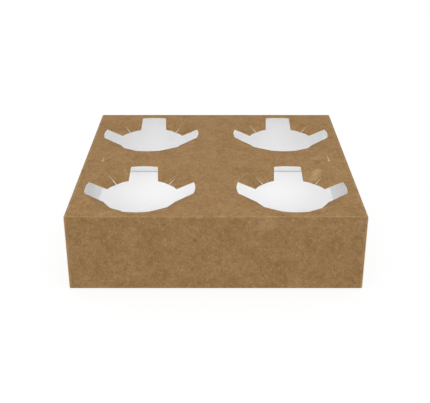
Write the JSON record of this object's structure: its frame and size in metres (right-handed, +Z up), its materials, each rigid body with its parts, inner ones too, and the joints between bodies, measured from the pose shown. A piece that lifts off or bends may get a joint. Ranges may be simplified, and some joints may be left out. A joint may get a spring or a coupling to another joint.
{
  "type": "cup carrier",
  "caption": "Low square carton of folded kraft board, open at the top through round holes whose bent flaps grip takeaway cups for carrying.",
  "frame": {"origin": "on the ground, under the middle of the base", "axes": "+Z up, +X to the right and +Y to the back, seen from the front"},
  "size_m": [0.22, 0.22, 0.06],
  "materials": {
    "kraft_board": "matt brown kraft outside, plain white inside"
  },
  "bodies": {
    "root": {"carrier": "kraft_board"}
  },
  "joints": []
}
